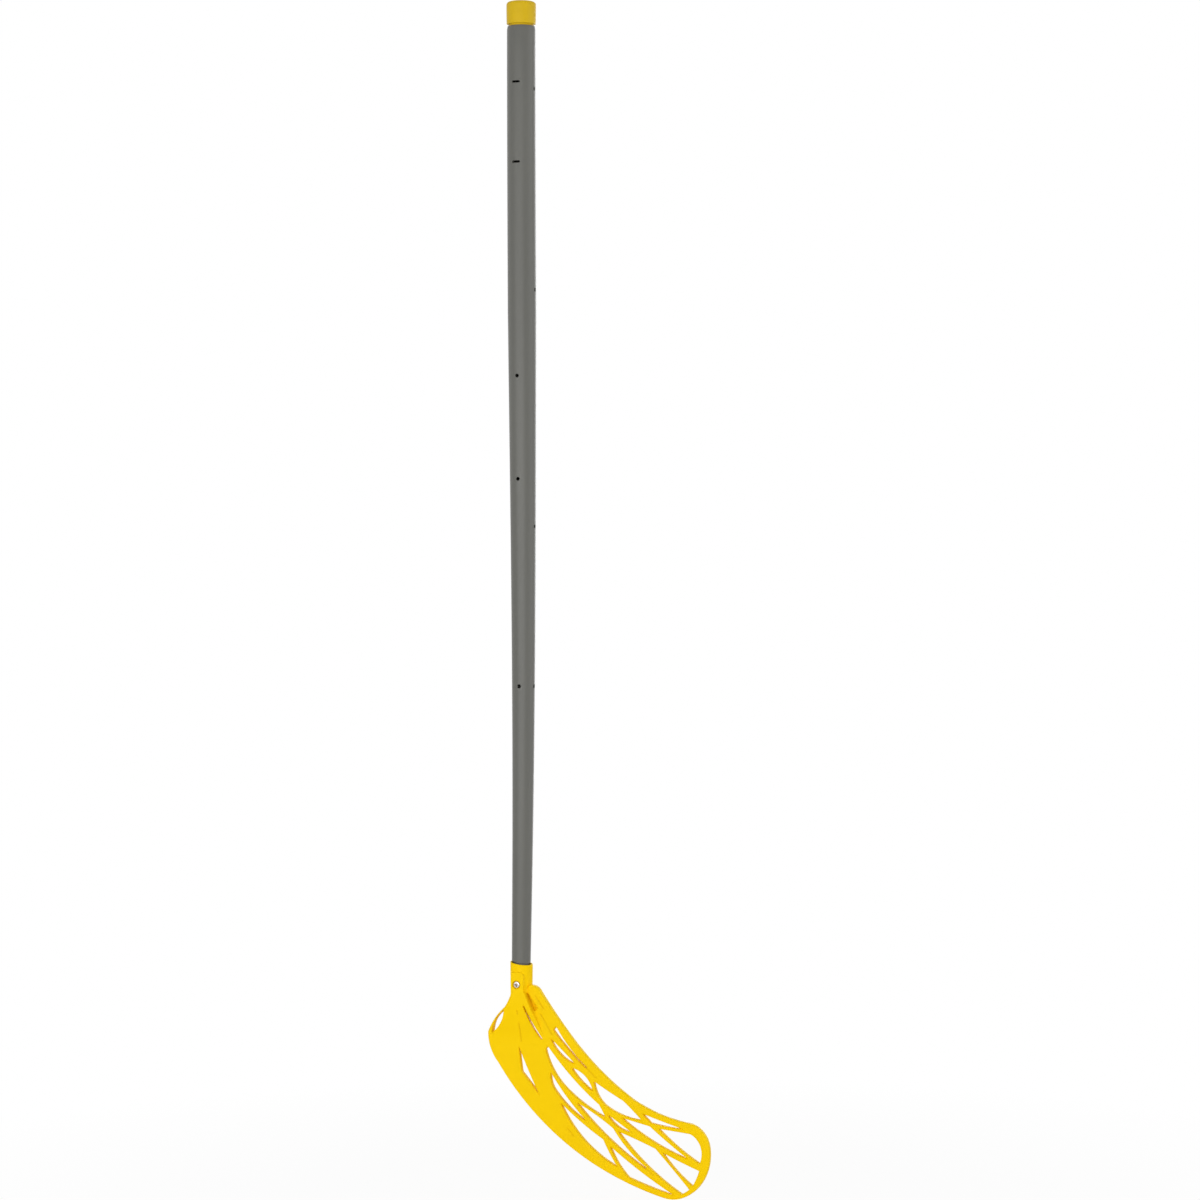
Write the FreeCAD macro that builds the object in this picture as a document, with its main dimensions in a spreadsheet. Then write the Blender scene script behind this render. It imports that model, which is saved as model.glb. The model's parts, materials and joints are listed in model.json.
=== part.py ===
import FreeCAD, Part
import os
import Sketcher

# Floorball stick. +Z runs up the shaft to the butt, the origin is the middle of the cylindrical grip,
# the front face of the blade looks along -Y and its toe points along +X. All sizes are in millimetres.

SIZES = [
    # Shaft: a cylindrical grip, a long taper and a spigot that enters the blade.
    ("grip_diameter", 27.2),
    ("grip_length", 272),
    ("taper_length", 621),
    ("neck_diameter", 18),
    ("shaft_wall", 2.2),
    ("solid_end", 20),
    ("spigot_diameter", 15.6),
    ("spigot_length", 36),
    ("lip_depth", 5),
    # Openings in the shaft wall, measured down from the butt end.
    ("slot_length", 8),
    ("slot_width", 2.2),
    ("upper_slot_drop", 54),
    ("lower_slot_drop", 130),
    ("hole_diameter", 3.8),
    ("front_hole_upper_drop", 333),
    ("front_hole_middle_drop", 431),
    ("front_hole_lower_drop", 628),
    ("side_hole_top_drop", 60),
    ("side_hole_upper_drop", 251),
    ("side_hole_middle_drop", 476),
    ("side_hole_lower_drop", 628),
    # End cap: a head as wide as the grip's rim and a hollow plug inside the tube.
    ("cap_diameter", 28.2),
    ("cap_height", 23.2),
    ("cap_corner", 3),
    ("cap_roof", 4),
    ("cap_gap", 0.2),
    ("plug_length", 35),
    ("plug_wall", 2.4),
    ("plug_clearance", 0.15),
    ("plug_chamfer", 1),
    # Blade: reach from the shaft's axis to the toe, drop from the taper's end to the sole.
    ("blade_reach", 199),
    ("blade_drop", 211),
    ("blade_thickness", 6),
    ("blade_setback", 3),
    ("hook_radius", 1100),
    # Socket, its tail inside the heel plate, and the raised tongue that carries the front screw.
    ("socket_diameter", 20.6),
    ("socket_rise", 1.8),
    ("socket_floor", 5),
    ("socket_tail", 34),
    ("tail_diameter", 4),
    ("rim_round", 0.8),
    ("lip_clearance", 0.2),
    ("spigot_clearance", 0.1),
    ("end_clearance", 0.3),
    ("tongue_front", 12.2),
    ("tongue_drop", 8),
    ("tongue_flat_end", 36),
    ("tongue_end", 64),
    ("tongue_edge", 0.6),
    ("tongue_left", 6),
    ("tongue_right", 7.8),
    ("tongue_spread_start", 26),
    ("tongue_end_left", 14),
    ("tongue_end_right", 29),
    ("rear_boss_diameter", 12),
    ("rear_boss_face", 12.2),
    ("recess_floor", 2.5),
    # Screws, one from each face, on one line through the spigot.
    ("screw_drop", 18.2),
    ("head_diameter", 6),
    ("head_height", 2.2),
    ("head_edge", 0.9),
    ("head_recess", 0.2),
    ("head_clearance", 1),
    ("seat_gap", 0.1),
    ("shank_diameter", 3.8),
    ("shank_length", 8.4),
    ("shank_point", 1.6),
    ("shank_clearance", 0.15),
    ("cross_span", 3.8),
    ("cross_width", 1.1),
    ("cross_depth", 1.3),
]

# Heights used by several pieces, as formulas of the sizes above.
BUTT = "sizes.grip_length / 2"
RIM = "-(sizes.grip_length / 2 + sizes.taper_length)"
INNER_GRIP = "sizes.grip_diameter / 2 - sizes.shaft_wall"
SEAT = "(sizes.head_height + sizes.head_recess)"

# The blade's drawing: points are (across, down) from the middle of the taper's end, drawn in
# millimetres for the reach and drop below and stretched with blade_reach and blade_drop.
DRAWN_REACH = 199
DRAWN_DROP = 211

# Each loop lists its corners, each followed by the point that its side bends through,
# or None where the side is straight.
BLADE_EDGE = [
    (13, 20.5), (17.5, 20), (22.5, 23.5), None, (52.5, 65), (83, 96), (118.5, 121.5), (145.5, 132.5),
    (177, 139), (191.5, 146), (199, 163), (194.5, 185.5), (176.5, 206), (163.5, 211), (150.5, 211),
    (112.5, 199.5), (78, 184.5), (39, 159.5), (14, 137.5), (-4.5, 117), (-21.5, 93.5), (-29, 81),
    (-31.5, 64.5), (-24.5, 51.5), (-15, 40.5), (-11.5, 35), (-9, 27.5), None, (-9, 11.5), None,
    (9, 11.5), None, (9, 22.5), None,
]

# Openings, in the groups in which they are cut.
HEEL_OPENINGS = [
    [(-16, 44.5), (-25, 54.5), (-28, 65.5), (-19, 56)],
    [(7, 41), (13, 57), (26, 73), (16, 56.5)],
    [(0, 78), (1.5, 90.5), (3, 101), (10.5, 109.5), (21, 122.5), (9.5, 99.5)],
]
UPPER_WINDOWS = [
    [(35.5, 60), (55.5, 82), (79.5, 102.5), (57.5, 80.5), (38.5, 57), None],
    [(32.5, 68), (43, 83), (58.5, 91.5), (46.5, 80.5)],
    [(30, 77), (34.5, 96), (50, 115), (66, 127), (90, 139.5), (86.5, 133.5), (83, 128), (55.5, 104.5)],
    [(54.5, 95), (63.5, 105.5), (76.5, 115.5), (68.5, 103)],
    [(78, 106.5), (81.5, 119.5), (90, 128.5), (106, 135.5), (127.5, 139.5), (117.5, 130.5), (108.5, 123),
     (94, 115.5)],
]
TOE_WINDOWS = [
    [(127, 132), None, (137.5, 141.5), (152, 143.5), (171.5, 145), (148, 139)],
    [(146, 147), (168.5, 164.5), (189.5, 175.5), (190, 160.5), (178.5, 149), None],
    [(107, 139), (142, 159.5), (178, 173), (157.5, 160), (136.5, 145), None],
    [(92, 136.5), (100.5, 145.5), (116.5, 151.5), None],
    [(103.5, 152), (132.5, 181.5), (170, 205.5), (174.5, 203), (178, 200.5), (160.5, 184), (142.5, 165.5),
     (124.5, 159)],
    [(150, 168.5), (164, 184.5), (181.5, 197), (185.5, 190), (188.5, 182.5), (169.5, 176)],
]
SOLE_WINDOWS = [
    [(33, 100.5), (34.5, 111.5), (39, 118.5), (52, 132), (71, 145), (50.5, 124)],
    [(60, 127.5), (97.5, 161.5), (139.5, 189), (118, 172), (98, 149.5), (82.5, 139.5)],
    [(43, 128.5), (67.5, 162), (102, 185), (94, 172.5), (87.5, 160.5), (65, 146)],
    [(94, 164.5), (102.5, 180.5), (114, 194), (138, 201.5), (161.5, 207), (127.5, 188.5)],
]
SHOULDER_RECESS = [(8.5, 27.5), None, (18, 40.5), None, (16.5, 42.5), None]

# Lengths closer than this count as equal when a corner or an edge is looked for.
TOLERANCE = 1e-6

doc = FreeCAD.newDocument("floorball_stick")
sheet = doc.addObject("Spreadsheet::Sheet", "sizes")
for row, (alias, number) in enumerate(SIZES, start=1):
    sheet.set(f"A{row}", alias)
    sheet.set(f"B{row}", str(number))
    sheet.setAlias(f"B{row}", alias)
doc.recompute()


def number_of(formula):
    """The present value of a formula of the sheet's sizes."""
    return float(sheet.evalExpression(formula))


def vector_of(point):
    """A sketch point, given as two formulas, at its present place."""
    return FreeCAD.Vector(number_of(point[0]), number_of(point[1]), 0)


def new_body(name):
    """A body whose label names its piece."""
    body = doc.addObject("PartDesign::Body", name)
    body.Label = name
    return body


def new_sketch(body, name, plane, offset=None):
    """A sketch on one of the body's own planes, moved along the plane's normal by the formula offset."""
    sketch = body.newObject("Sketcher::SketchObject", name)
    support = next(feature for feature in body.Origin.OriginFeatures if feature.Role == plane)
    sketch.AttachmentSupport = [(support, "")]
    sketch.MapMode = "FlatFace"
    if offset:
        sketch.setExpression("AttachmentOffset.Base.z", offset)
    return sketch


def held_at(geometry, position, point):
    """Constraints that hold a sketch point at two formulas from the sketch's origin, with the formulas."""
    place = vector_of(point)
    return [
        (Sketcher.Constraint("DistanceX", -1, 1, geometry, position, place.x), point[0]),
        (Sketcher.Constraint("DistanceY", -1, 1, geometry, position, place.y), point[1]),
    ]


def constrain(sketch, rules):
    """Add (constraint, formula) pairs together and bind the constraints that have a formula."""
    first = sketch.ConstraintCount
    sketch.addConstraint([constraint for constraint, formula in rules])
    for index, (constraint, formula) in enumerate(rules, start=first):
        if formula:
            sketch.setExpression(f"Constraints[{index}]", formula)


def draw_loop(sketch, sides):
    """A closed loop of (corner, bend) pairs: a side is straight, or an arc through its bend point."""
    corners = [vector_of(corner) for corner, bend in sides]
    shapes = []
    for start, end, (corner, bend) in zip(corners, corners[1:] + corners[:1], sides):
        shapes.append(Part.Arc(start, vector_of(bend), end) if bend else Part.LineSegment(start, end))
    indices = sketch.addGeometry(shapes, False)
    starts = [1 if (sketch.getPoint(index, 1) - corner).Length < TOLERANCE else 2
              for index, corner in zip(indices, corners)]
    rules = []
    for position, index in enumerate(indices):
        following = (position + 1) % len(indices)
        meeting = Sketcher.Constraint(
            "Coincident", index, 3 - starts[position], indices[following], starts[following])
        rules.append((meeting, None))
        corner, bend = sides[position]
        rules += held_at(index, starts[position], corner)
        if bend:
            through = sketch.addGeometry(Part.Point(vector_of(bend)), True)
            rules += held_at(through, 1, bend)
            rules.append((Sketcher.Constraint("PointOnObject", through, 1, index), None))
    constrain(sketch, rules)


def draw_polygon(sketch, corners):
    """A closed loop of straight sides."""
    draw_loop(sketch, [(corner, None) for corner in corners])


def draw_circle(sketch, centre, diameter):
    """A circle held by its centre's formulas and its diameter's formula."""
    width = number_of(diameter)
    index = sketch.addGeometry(Part.Circle(vector_of(centre), FreeCAD.Vector(0, 0, 1), width / 2), False)
    rules = held_at(index, 3, centre)
    rules.append((Sketcher.Constraint("Diameter", index, width), diameter))
    constrain(sketch, rules)


def draw_slot(sketch, height, length, width):
    """A level slot with round ends, centred across the sketch's upright axis."""
    half_run = f"({length} - {width}) / 2"
    upper = f"{height} + {width} / 2"
    lower = f"{height} - {width} / 2"
    draw_loop(sketch, [
        ((f"-({half_run})", lower), None),
        ((half_run, lower), (f"{length} / 2", height)),
        ((half_run, upper), None),
        ((f"-({half_run})", upper), (f"-{length} / 2", height)),
    ])


def blade_point(point):
    """A point of the blade's drawing as formulas: across and up from the middle of the rim."""
    across, down = point
    return (f"sizes.blade_reach * {across} / {DRAWN_REACH}", f"-sizes.blade_drop * {down} / {DRAWN_DROP}")


def blade_loop(points):
    """A loop of the blade's drawing as (corner, bend) pairs of formulas."""
    corners = [blade_point(point) for point in points[0::2]]
    bends = [blade_point(point) if point else None for point in points[1::2]]
    return list(zip(corners, bends))


def pad(body, sketch, name, length, back_length=None, reverse=False):
    """A pad from its sketch by the formula length, and the other way by back_length."""
    feature = body.newObject("PartDesign::Pad", name)
    feature.Profile = sketch
    feature.Reversed = reverse
    feature.setExpression("Length", length)
    if back_length:
        feature.SideType = "Two sides"
        feature.setExpression("Length2", back_length)
    doc.recompute()
    return feature


def pocket(body, sketch, name, depth=None, back_depth=None, reverse=False):
    """A pocket of the formula depth, also the other way by back_depth, or right through both ways."""
    before = body.Shape.Volume
    feature = body.newObject("PartDesign::Pocket", name)
    feature.Profile = sketch
    feature.Reversed = reverse
    if depth:
        feature.setExpression("Length", depth)
        if back_depth:
            feature.SideType = "Two sides"
            feature.setExpression("Length2", back_depth)
    else:
        feature.SideType = "Two sides"
        feature.Type = "ThroughAll"
        feature.Type2 = "ThroughAll"
    doc.recompute()
    if body.Shape.Volume >= before:
        raise RuntimeError(f"{name} cuts nothing")
    return feature


def revolve(body, sketch, name):
    """A full turn of a half section about the sketch's upright axis."""
    feature = body.newObject("PartDesign::Revolution", name)
    feature.Profile = sketch
    feature.ReferenceAxis = (sketch, ["V_Axis"])
    feature.Angle = 360
    doc.recompute()
    return feature


def round_edges(body, base, name, radius, wanted):
    """A fillet of the formula radius on the edges of base that the test wanted picks."""
    edges = [f"Edge{index}" for index, edge in enumerate(base.Shape.Edges, start=1) if wanted(edge)]
    if not edges:
        raise RuntimeError(f"{name} finds no edge")
    feature = body.newObject("PartDesign::Fillet", name)
    feature.Base = (base, edges)
    feature.setExpression("Radius", radius)
    doc.recompute()
    return feature


def is_ring(edge, radius, height):
    """True for a full circle of this radius, level at this height."""
    curve = edge.Curve
    return (isinstance(curve, Part.Circle) and edge.isClosed()
            and abs(curve.Radius - radius) < TOLERANCE and abs(curve.Center.z - height) < TOLERANCE)


def make_shaft():
    """The tube: one turned section with a tapering wall, pierced by slots and holes from two sides."""
    body = new_body("shaft")
    section = new_sketch(body, "shaft_section", "XZ_Plane")
    neck = "sizes.neck_diameter / 2"
    spigot = "sizes.spigot_diameter / 2"
    bore_end = f"{RIM} + sizes.solid_end"
    bore_end_radius = (f"{neck} + (sizes.grip_diameter - sizes.neck_diameter) / 2"
                       " * sizes.solid_end / sizes.taper_length - sizes.shaft_wall")
    draw_polygon(section, [
        (INNER_GRIP, BUTT),
        ("sizes.grip_diameter / 2", BUTT),
        ("sizes.grip_diameter / 2", f"-({BUTT})"),
        (neck, RIM),
        (neck, f"{RIM} - sizes.lip_depth"),
        (spigot, f"{RIM} - sizes.lip_depth"),
        (spigot, f"{RIM} - sizes.spigot_length"),
        ("0", f"{RIM} - sizes.spigot_length"),
        ("0", bore_end),
        (bore_end_radius, bore_end),
        (INNER_GRIP, f"-({BUTT})"),
    ])
    revolve(body, section, "shaft_tube")

    front = new_sketch(body, "front_openings", "XZ_Plane")
    for drop in ("upper_slot_drop", "lower_slot_drop"):
        draw_slot(front, f"{BUTT} - sizes.{drop}", "sizes.slot_length", "sizes.slot_width")
    for level in ("upper", "middle", "lower"):
        draw_circle(front, ("0", f"{BUTT} - sizes.front_hole_{level}_drop"), "sizes.hole_diameter")
    draw_circle(front, ("0", f"{RIM} - sizes.screw_drop"), "sizes.shank_diameter + 2 * sizes.shank_clearance")
    pocket(body, front, "front_cuts")

    side = new_sketch(body, "side_openings", "YZ_Plane")
    for level in ("top", "upper", "middle", "lower"):
        draw_circle(side, ("0", f"{BUTT} - sizes.side_hole_{level}_drop"), "sizes.hole_diameter")
    pocket(body, side, "side_cuts")
    return body


def make_end_cap():
    """The cap: a round head on the butt and a hollow plug with a lead-in chamfer inside the tube."""
    body = new_body("end_cap")
    section = new_sketch(body, "cap_section", "XZ_Plane")
    head = "sizes.cap_diameter / 2"
    plug = f"{INNER_GRIP} - sizes.plug_clearance"
    top = "sizes.cap_gap + sizes.cap_height"
    draw_polygon(section, [
        ("0", top),
        (head, top),
        (head, "sizes.cap_gap"),
        (plug, "sizes.cap_gap"),
        (plug, "-sizes.plug_length + sizes.plug_chamfer"),
        (f"{plug} - sizes.plug_chamfer", "-sizes.plug_length"),
        (f"{plug} - sizes.plug_wall", "-sizes.plug_length"),
        (f"{plug} - sizes.plug_wall", f"{top} - sizes.cap_roof"),
        ("0", f"{top} - sizes.cap_roof"),
    ])
    turned = revolve(body, section, "cap_turned")
    head_radius = number_of(head)
    round_edges(body, turned, "cap_corner_round", "sizes.cap_corner",
                lambda edge: is_ring(edge, head_radius, number_of(top)))
    body.setExpression("Placement.Base.z", BUTT)
    return body


def make_blade():
    """The blade: a hooked web cut to its drawing, with the socket, its tail, the tongue and the rear boss."""
    body = new_body("blade")
    drawing = new_sketch(body, "blade_edge", "XZ_Plane")
    draw_loop(drawing, blade_loop(BLADE_EDGE))
    web_front = "(sizes.blade_setback + sizes.blade_thickness / 2)"
    web_back = "(sizes.blade_thickness / 2 - sizes.blade_setback)"
    hook_depth = "(sizes.blade_reach ^ 2 / sizes.hook_radius)"
    pad(body, drawing, "blade_web", f"{web_front} + {hook_depth}", f"{web_back} + sizes.blade_thickness")

    # The web follows two arcs about one centre in front of the blade; what lies outside them goes.
    hook = new_sketch(body, "hook_section", "XY_Plane")
    past_heel = "(-sizes.blade_reach / 2)"
    past_toe = "(sizes.blade_reach + 2 * sizes.blade_thickness)"
    for face, far in ((f"-{web_front}", f"-{web_front} - 2 * {hook_depth}"),
                      (web_back, f"{web_back} + 2 * sizes.blade_thickness")):
        radius = f"(sizes.hook_radius + {face} + sizes.blade_setback)"
        heel_face = f"{face} - {radius} + sqrt({radius} ^ 2 - {past_heel} ^ 2)"
        toe_face = f"{face} - {radius} + sqrt({radius} ^ 2 - {past_toe} ^ 2)"
        draw_loop(hook, [
            ((past_heel, heel_face), ("0", face)),
            ((past_toe, toe_face), None),
            ((past_toe, far), None),
            ((past_heel, far), None),
        ])
    pocket(body, hook, "hook_cut")

    # The socket's wall is turned about the shaft's axis and its tail runs out inside the heel plate.
    section = new_sketch(body, "socket_section", "XZ_Plane")
    wall = "sizes.socket_diameter / 2"
    floor = "-(sizes.spigot_length + sizes.socket_floor)"
    draw_polygon(section, [
        ("0", "sizes.socket_rise"),
        (wall, "sizes.socket_rise"),
        (wall, floor),
        ("sizes.tail_diameter / 2", f"{floor} - sizes.socket_tail"),
        ("0", f"{floor} - sizes.socket_tail"),
    ])
    turned = revolve(body, section, "socket_turned")
    wall_radius = number_of(wall)
    round_edges(body, turned, "socket_rim_round", "sizes.rim_round",
                lambda edge: is_ring(edge, wall_radius, number_of("sizes.socket_rise")))

    # The tongue stands proud in front of the socket, spreads out downwards and slopes back to the heel plate.
    spread = new_sketch(body, "tongue_spread", "XZ_Plane")
    draw_polygon(spread, [
        ("-sizes.tongue_left", "-sizes.tongue_drop"),
        ("sizes.tongue_right", "-sizes.tongue_drop"),
        ("sizes.tongue_right", "-sizes.tongue_spread_start"),
        ("sizes.tongue_end_right", "-sizes.tongue_end"),
        ("-sizes.tongue_end_left", "-sizes.tongue_end"),
        ("-sizes.tongue_left", "-sizes.tongue_spread_start"),
    ])
    pad(body, spread, "tongue", "sizes.tongue_front")
    slope = new_sketch(body, "tongue_slope", "YZ_Plane")
    draw_polygon(slope, [
        ("-sizes.tongue_front", "-sizes.tongue_flat_end"),
        (f"-{web_front} - sizes.tongue_edge", "-sizes.tongue_end"),
        ("-sizes.tongue_front", "-sizes.tongue_end"),
    ])
    pocket(body, slope, "tongue_slope_cut", "sizes.tongue_end_left", back_depth="sizes.tongue_end_right")

    screw_line = ("0", "-sizes.screw_drop")
    boss = new_sketch(body, "rear_boss_circle", "XZ_Plane")
    draw_circle(boss, screw_line, "sizes.rear_boss_diameter")
    pad(body, boss, "rear_boss", "sizes.rear_boss_face", reverse=True)

    for name, loops in (("heel_openings", HEEL_OPENINGS), ("upper_windows", UPPER_WINDOWS),
                        ("toe_windows", TOE_WINDOWS), ("sole_windows", SOLE_WINDOWS)):
        drawing = new_sketch(body, f"{name}_drawing", "XZ_Plane")
        for points in loops:
            draw_loop(drawing, blade_loop(points))
        pocket(body, drawing, name)

    recess = new_sketch(body, "shoulder_recess_drawing", "XZ_Plane", "sizes.recess_floor")
    draw_loop(recess, blade_loop(SHOULDER_RECESS))
    pocket(body, recess, "shoulder_recess", "sizes.tongue_front", reverse=True)

    lip = new_sketch(body, "lip_circle", "XY_Plane", "sizes.socket_rise")
    draw_circle(lip, ("0", "0"), "sizes.neck_diameter + 2 * sizes.lip_clearance")
    pocket(body, lip, "lip_bore", "sizes.socket_rise + sizes.lip_depth")
    bore = new_sketch(body, "bore_circle", "XY_Plane")
    draw_circle(bore, ("0", "0"), "sizes.spigot_diameter + 2 * sizes.spigot_clearance")
    pocket(body, bore, "spigot_bore", "sizes.spigot_length + sizes.end_clearance")

    # A clearance hole right through on the screws' line, with a seat for each head.
    hole = new_sketch(body, "screw_hole_circle", "XZ_Plane")
    draw_circle(hole, screw_line, "sizes.shank_diameter + 2 * sizes.shank_clearance")
    pocket(body, hole, "screw_hole")
    for name, offset, reverse in (("front_seat", "sizes.tongue_front", False),
                                  ("rear_seat", "-sizes.rear_boss_face", True)):
        seat = new_sketch(body, f"{name}_circle", "XZ_Plane", offset)
        draw_circle(seat, screw_line, "sizes.head_diameter + 2 * sizes.head_clearance")
        pocket(body, seat, name, SEAT, reverse=reverse)
    body.setExpression("Placement.Base.z", RIM)
    return body


def make_screw(name, turn, side, face):
    """A domed screw with a pointed shank and a cross recess, its head on the side that the sign names."""
    body = new_body(name)
    section = new_sketch(body, f"{name}_section", "XZ_Plane")
    shank = "sizes.shank_diameter / 2"
    head = "sizes.head_diameter / 2"
    rise = "(sizes.head_height - sizes.head_edge)"
    dome = f"((({head}) ^ 2 + {rise} ^ 2) / (2 * {rise}))"
    half_way_up = f"sizes.head_height - {dome} + sqrt({dome} ^ 2 - ({head} / 2) ^ 2)"
    draw_loop(section, [
        (("0", "-sizes.shank_length"), None),
        ((f"{shank} / 2", "-sizes.shank_length"), None),
        ((shank, "-sizes.shank_length + sizes.shank_point"), None),
        ((shank, "0"), None),
        ((head, "0"), None),
        ((head, "sizes.head_edge"), (f"{head} / 2", half_way_up)),
        (("0", "sizes.head_height"), None),
    ])
    revolve(body, section, f"{name}_turned")

    cross = new_sketch(body, f"{name}_cross", "XY_Plane", "sizes.head_height - sizes.cross_depth")
    arm = "sizes.cross_span / 2"
    slit = "sizes.cross_width / 2"
    draw_polygon(cross, [
        (arm, f"-{slit}"), (arm, slit), (slit, slit), (slit, arm), (f"-{slit}", arm), (f"-{slit}", slit),
        (f"-{arm}", slit), (f"-{arm}", f"-{slit}"), (f"-{slit}", f"-{slit}"), (f"-{slit}", f"-{arm}"),
        (slit, f"-{arm}"), (slit, f"-{slit}"),
    ])
    pocket(body, cross, f"{name}_recess", "sizes.head_height", reverse=True)

    body.Placement = FreeCAD.Placement(
        FreeCAD.Vector(0, 0, 0), FreeCAD.Rotation(FreeCAD.Vector(1, 0, 0), turn))
    body.setExpression("Placement.Base.y", f"{side} * ({face} - {SEAT} + sizes.seat_gap)")
    body.setExpression("Placement.Base.z", f"{RIM} - sizes.screw_drop")
    return body


PIECES = [
    make_shaft(),
    make_end_cap(),
    make_blade(),
    make_screw("front_screw", 90, -1, "sizes.tongue_front"),
    make_screw("rear_screw", -90, 1, "sizes.rear_boss_face"),
]
doc.recompute()

for item in doc.Objects:
    if "Invalid" in item.State or "Error" in item.State:
        raise RuntimeError(f"{item.Name} failed: {item.State}")

os.makedirs("parts", exist_ok=True)
for piece in PIECES:
    if piece.Shape.isNull() or not piece.Shape.isValid():
        raise RuntimeError(f"{piece.Label} has no valid shape")
    print(piece.Label, len(piece.Shape.Solids), round(piece.Shape.Volume, 1), piece.Shape.BoundBox)
    piece.Shape.exportStep(f"parts/{piece.Label}.step")
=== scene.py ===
import json
import math

import bpy
import numpy as np
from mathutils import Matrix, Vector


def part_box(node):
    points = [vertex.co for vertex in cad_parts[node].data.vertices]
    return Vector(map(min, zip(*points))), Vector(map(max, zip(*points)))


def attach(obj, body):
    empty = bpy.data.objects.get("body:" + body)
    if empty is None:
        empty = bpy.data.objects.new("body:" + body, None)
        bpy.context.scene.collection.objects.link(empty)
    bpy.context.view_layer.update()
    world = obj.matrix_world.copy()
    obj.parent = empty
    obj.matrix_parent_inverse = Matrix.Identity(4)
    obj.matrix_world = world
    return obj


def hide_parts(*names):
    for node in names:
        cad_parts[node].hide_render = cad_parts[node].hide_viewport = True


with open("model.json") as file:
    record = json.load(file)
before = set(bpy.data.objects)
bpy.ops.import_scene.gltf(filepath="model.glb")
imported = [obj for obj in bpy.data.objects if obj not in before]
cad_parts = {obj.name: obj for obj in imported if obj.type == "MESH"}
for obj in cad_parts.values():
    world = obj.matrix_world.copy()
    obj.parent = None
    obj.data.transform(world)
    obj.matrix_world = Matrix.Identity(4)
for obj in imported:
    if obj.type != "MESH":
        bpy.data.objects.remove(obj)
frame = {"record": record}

bl_info = {
    "name": "Floorball stick",
    "version": (1, 0, 0),
    "blender": (4, 5, 0),
    "location": "View3D > Sidebar > Stick",
    "description": "Builds the visible surfaces of a floorball stick on its packed solids",
    "category": "Add Mesh",
}

# A drawn area below TINY counts as none, and most of a noise lies between its low and high.
MM = 0.001
TINY = 1e-6
NOISE_LOW, NOISE_HIGH = 0.3, 0.7

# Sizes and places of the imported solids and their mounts, in millimetres.
MOUNT_SIZES = {mount["name"]: mount["dims"] for mount in frame["record"]["mounts"]}
GRIP_RADIUS = MOUNT_SIZES["hand_grip"]["r_mm"]
GRIP_LENGTH = MOUNT_SIZES["hand_grip"]["length_mm"]
CAP_RADIUS = MOUNT_SIZES["butt_end"]["r_mm"]
SHAFT_LOW, SHAFT_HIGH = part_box("shaft")
BLADE_LOW, BLADE_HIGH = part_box("blade")
CAP_LOW, CAP_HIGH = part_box("end_cap")
SCREW_LOW, SCREW_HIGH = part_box("front_screw")
BUTT = SHAFT_HIGH.z / MM
SPIGOT_END = SHAFT_LOW.z / MM
SPIGOT_LENGTH = 36.0
TAPER_END = SPIGOT_END + SPIGOT_LENGTH
RIM = BLADE_HIGH.z / MM
FLOOR = BLADE_LOW.z / MM
CAP_TOP = CAP_HIGH.z / MM
PLUG_END = CAP_LOW.z / MM
SCREW_HEIGHT = (SCREW_LOW.z + SCREW_HIGH.z) / 2 / MM
SCREW_FACE = -SCREW_LOW.y / MM
SCREW_LENGTH = (SCREW_HIGH.y - SCREW_LOW.y) / MM
SCREW_RADIUS = (SCREW_HIGH.x - SCREW_LOW.x) / 2 / MM

# The blade's outline and openings, in millimetres across from the shaft's axis and down from the taper's
# end. Each loop has a corner and the bend of the side that follows it by turns, and a side with no bend is
# straight.
BLADE_EDGE = [
    (11, 18.5), (17.5, 19.5), (22.5, 24.5), (37, 44.5), (53, 64.5), (83.5, 95.5), (118.5, 121),
    (145.5, 132.5), (177, 139), (192, 146), (199.5, 163), (195.5, 186), (177.5, 206), (163.5, 211),
    (150.5, 210.5), (112.5, 199.5), (78, 184.5), (39, 159.5), (14, 137.5), (-4.5, 117), (-21.5, 93.5),
    (-29, 81), (-32, 64.5), (-25, 51.5), (-15, 40.5), (-12, 35.5), (-8.5, 27.5), None, (-8, 11.5), None,
    (8, 11.5), None, (8, 22.5), None,
]
SLANTED_OPENING = [
    (6.5, 38), (14.5, 56), (24.5, 70), None, (25.5, 69), (16.5, 55.5), (7.5, 37.5), None,
]
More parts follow.
